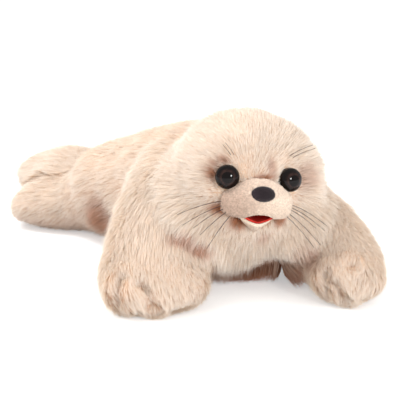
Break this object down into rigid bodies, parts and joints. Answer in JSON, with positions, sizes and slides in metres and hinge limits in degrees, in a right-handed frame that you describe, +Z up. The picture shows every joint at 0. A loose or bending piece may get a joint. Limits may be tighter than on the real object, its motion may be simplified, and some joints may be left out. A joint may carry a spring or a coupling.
{
  "type": "seal hand puppet",
  "caption": "Full-body plush seal hand puppet lying on its belly, with a hand opening in its underside, stuffed flippers, an open mouth and whiskers.",
  "frame": {"origin": "on the flat patch of belly that rests on the table, under the shoulders", "axes": "-Y is the way the face looks, +X is the seal's own left, +Z is up from the table"},
  "size_m": [0.2976, 0.4028, 0.1557],
  "materials": {
    "fur": "long soft pile",
    "short_pile": "short knitted pile",
    "red_felt": "felt",
    "lining_cloth": "smooth woven",
    "fibre_fill": "loose fibre",
    "nose_flock": "flocked",
    "eye_plastic": "glossy",
    "washer_plastic": "moulded",
    "whisker_filament": "drawn filament"
  },
  "bodies": {
    "root": {"body_cover": "fur", "head_cover": "fur", "front_flipper_left": "fur", "front_flipper_right": "fur", "rear_flipper_left": "fur", "rear_flipper_right": "fur", "muzzle": "short_pile", "chin": "short_pile", "mouth_lining": "red_felt", "glove_lining": "lining_cloth", "body_stuffing": "fibre_fill", "head_padding": "fibre_fill", "nose": "nose_flock", "nose_washer": "washer_plastic", "eye_left": "eye_plastic", "eye_right": "eye_plastic", "eye_washer_left": "washer_plastic", "eye_washer_right": "washer_plastic", "whisker_left_1": "whisker_filament", "whisker_left_2": "whisker_filament", "whisker_left_3": "whisker_filament", "whisker_left_4": "whisker_filament", "whisker_left_5": "whisker_filament", "brow_whisker_left_1": "whisker_filament", "brow_whisker_left_2": "whisker_filament", "whisker_right_1": "whisker_filament", "whisker_right_2": "whisker_filament", "whisker_right_3": "whisker_filament", "whisker_right_4": "whisker_filament", "whisker_right_5": "whisker_filament", "brow_whisker_right_1": "whisker_filament", "brow_whisker_right_2": "whisker_filament"}
  },
  "joints": []
}
